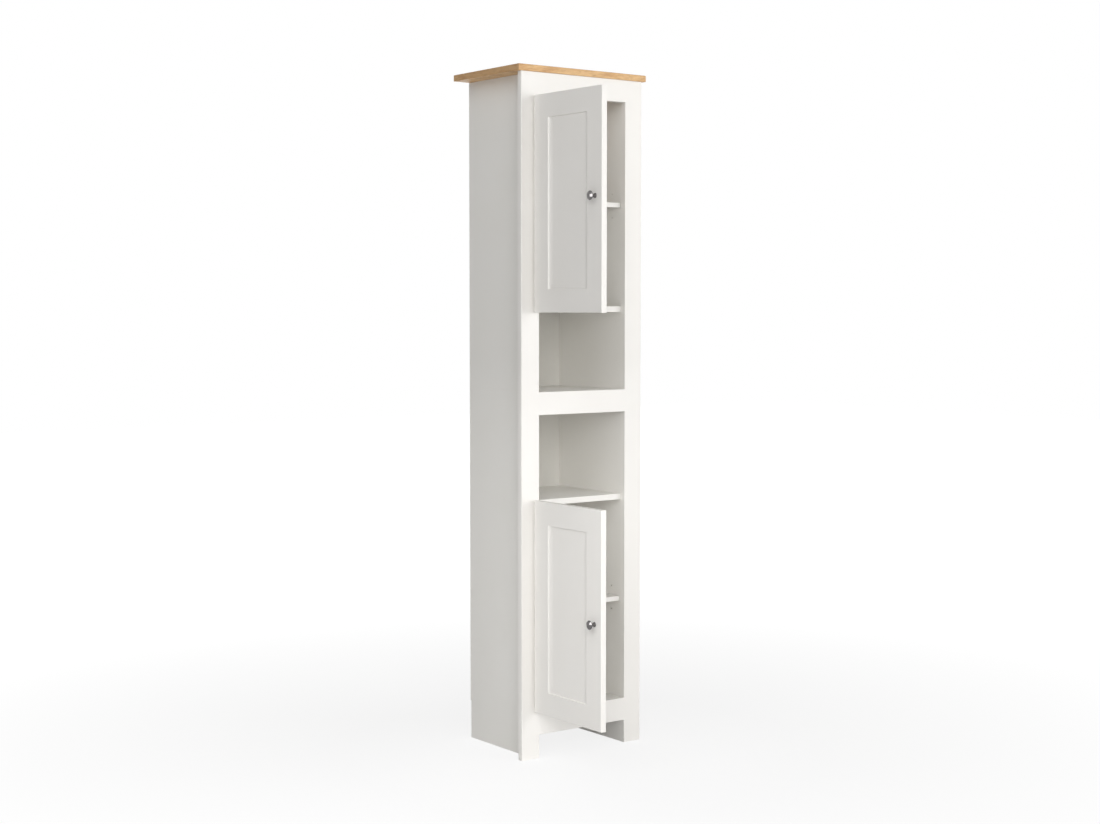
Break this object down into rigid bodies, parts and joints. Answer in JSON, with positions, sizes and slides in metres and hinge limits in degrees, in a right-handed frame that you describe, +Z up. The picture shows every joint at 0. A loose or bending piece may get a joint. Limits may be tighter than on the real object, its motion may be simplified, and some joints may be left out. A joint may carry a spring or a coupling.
{
  "type": "tall bathroom cabinet",
  "caption": "Narrow tall cabinet with a face frame on leg-like feet, inset framed doors on concealed hinges, open niches, shelves behind the doors and an oak-effect top.",
  "frame": {"origin": "on the floor, in the middle of the footprint of the cabinet with its doors square open", "axes": "+X to the right of someone facing the cabinet, +Y towards its back, +Z up"},
  "size_m": [0.4, 0.558, 1.718],
  "materials": {
    "oak_effect_top": "satin lacquered oak effect",
    "painted_hardboard": "smooth white paint",
    "beech": "bare",
    "polished_chrome": "polished",
    "cast_zinc": "as cast",
    "nickel_plated_steel": "nickel plated",
    "bright_steel": "zinc plated",
    "white_painted_board": "satin white paint"
  },
  "bodies": {
    "cabinet": {"back_panel_nails": "bright_steel", "bottom_panel": "white_painted_board", "bottom_rail": "white_painted_board", "cam_locks": "cast_zinc", "cam_posts": "bright_steel", "hinge_arm_pins": "bright_steel", "hinge_arms": "nickel_plated_steel", "hinge_plates": "nickel_plated_steel", "hinge_screws": "bright_steel", "left_lower_side": "white_painted_board", "left_stile": "white_painted_board", "left_upper_side": "white_painted_board", "lower_adjustable_shelf": "white_painted_board", "lower_back_panel": "painted_hardboard", "lower_fixed_shelf": "white_painted_board", "middle_rail": "white_painted_board", "middle_shelf": "white_painted_board", "right_lower_side": "white_painted_board", "right_stile": "white_painted_board", "right_upper_side": "white_painted_board", "shelf_pins": "bright_steel", "top_panel": "oak_effect_top", "top_rail": "white_painted_board", "upper_adjustable_shelf": "white_painted_board", "upper_back_panel": "painted_hardboard", "upper_fixed_shelf": "white_painted_board", "wood_dowels": "beech"},
    "upper_door": {"upper_cup_pins": "bright_steel", "upper_cup_screws": "bright_steel", "upper_door_bottom_rail": "white_painted_board", "upper_door_centre_panel": "white_painted_board", "upper_door_hinge_stile": "white_painted_board", "upper_door_knob": "polished_chrome", "upper_door_knob_screw": "bright_steel", "upper_door_lock_stile": "white_painted_board", "upper_door_top_rail": "white_painted_board", "upper_hinge_cups": "nickel_plated_steel"},
    "upper_swing_levers": {"upper_swing_levers": "nickel_plated_steel", "upper_swing_pins": "bright_steel"},
    "upper_guide_levers": {"upper_guide_levers": "nickel_plated_steel", "upper_guide_pins": "bright_steel"},
    "upper_cross_links": {"upper_cross_links": "nickel_plated_steel"},
    "upper_tie_links": {"upper_tie_links": "nickel_plated_steel"},
    "lower_door": {"lower_cup_pins": "bright_steel", "lower_cup_screws": "bright_steel", "lower_door_bottom_rail": "white_painted_board", "lower_door_centre_panel": "white_painted_board", "lower_door_hinge_stile": "white_painted_board", "lower_door_knob": "polished_chrome", "lower_door_knob_screw": "bright_steel", "lower_door_lock_stile": "white_painted_board", "lower_door_top_rail": "white_painted_board", "lower_hinge_cups": "nickel_plated_steel"},
    "lower_swing_levers": {"lower_swing_levers": "nickel_plated_steel", "lower_swing_pins": "bright_steel"},
    "lower_guide_levers": {"lower_guide_levers": "nickel_plated_steel", "lower_guide_pins": "bright_steel"},
    "lower_cross_links": {"lower_cross_links": "nickel_plated_steel"},
    "lower_tie_links": {"lower_tie_links": "nickel_plated_steel"}
  },
  "joints": [
    {"name": "upper_door_hinge", "type": "hinge", "parent": "cabinet", "child": "upper_door", "pos_m": [-0.14775, 0.0035, 1.37875], "axis": [0, 0, -1], "range_deg": [-90, 15]},
    {"name": "upper_swing_pivot", "type": "hinge", "parent": "cabinet", "child": "upper_swing_levers", "pos_m": [-0.12925, 0.017, 1.37875], "axis": [0, 0, -1], "range_deg": [-90, 15]},
    {"name": "upper_guide_pivot", "type": "hinge", "parent": "cabinet", "child": "upper_guide_levers", "pos_m": [-0.12375, 0.02275, 1.37875], "axis": [0, 0, -1], "range_deg": [-90, 15]},
    {"name": "upper_cross_pivot", "type": "hinge", "parent": "upper_door", "child": "upper_cross_links", "pos_m": [-0.14375, -0.03275, 1.37875], "axis": [0, 0, -1], "range_deg": [-15, 90]},
    {"name": "upper_tie_pivot", "type": "hinge", "parent": "upper_door", "child": "upper_tie_links", "pos_m": [-0.14375, -0.04025, 1.37875], "axis": [0, 0, -1], "range_deg": [-15, 90]},
    {"name": "lower_door_hinge", "type": "hinge", "parent": "cabinet", "child": "lower_door", "pos_m": [-0.14775, 0.0035, 0.38475], "axis": [0, 0, -1], "range_deg": [-90, 15]},
    {"name": "lower_swing_pivot", "type": "hinge", "parent": "cabinet", "child": "lower_swing_levers", "pos_m": [-0.12925, 0.017, 0.38475], "axis": [0, 0, -1], "range_deg": [-90, 15]},
    {"name": "lower_guide_pivot", "type": "hinge", "parent": "cabinet", "child": "lower_guide_levers", "pos_m": [-0.12375, 0.02275, 0.38475], "axis": [0, 0, -1], "range_deg": [-90, 15]},
    {"name": "lower_cross_pivot", "type": "hinge", "parent": "lower_door", "child": "lower_cross_links", "pos_m": [-0.14375, -0.03275, 0.38475], "axis": [0, 0, -1], "range_deg": [-15, 90]},
    {"name": "lower_tie_pivot", "type": "hinge", "parent": "lower_door", "child": "lower_tie_links", "pos_m": [-0.14375, -0.04025, 0.38475], "axis": [0, 0, -1], "range_deg": [-15, 90]}
  ],
  "couplings": [
    {"joint": "upper_swing_pivot", "follows": "upper_door_hinge", "ratio": 1},
    {"joint": "upper_guide_pivot", "follows": "upper_door_hinge", "ratio": 1},
    {"joint": "upper_cross_pivot", "follows": "upper_door_hinge", "ratio": -1},
    {"joint": "upper_tie_pivot", "follows": "upper_door_hinge", "ratio": -1},
    {"joint": "lower_swing_pivot", "follows": "lower_door_hinge", "ratio": 1},
    {"joint": "lower_guide_pivot", "follows": "lower_door_hinge", "ratio": 1},
    {"joint": "lower_cross_pivot", "follows": "lower_door_hinge", "ratio": -1},
    {"joint": "lower_tie_pivot", "follows": "lower_door_hinge", "ratio": -1}
  ]
}
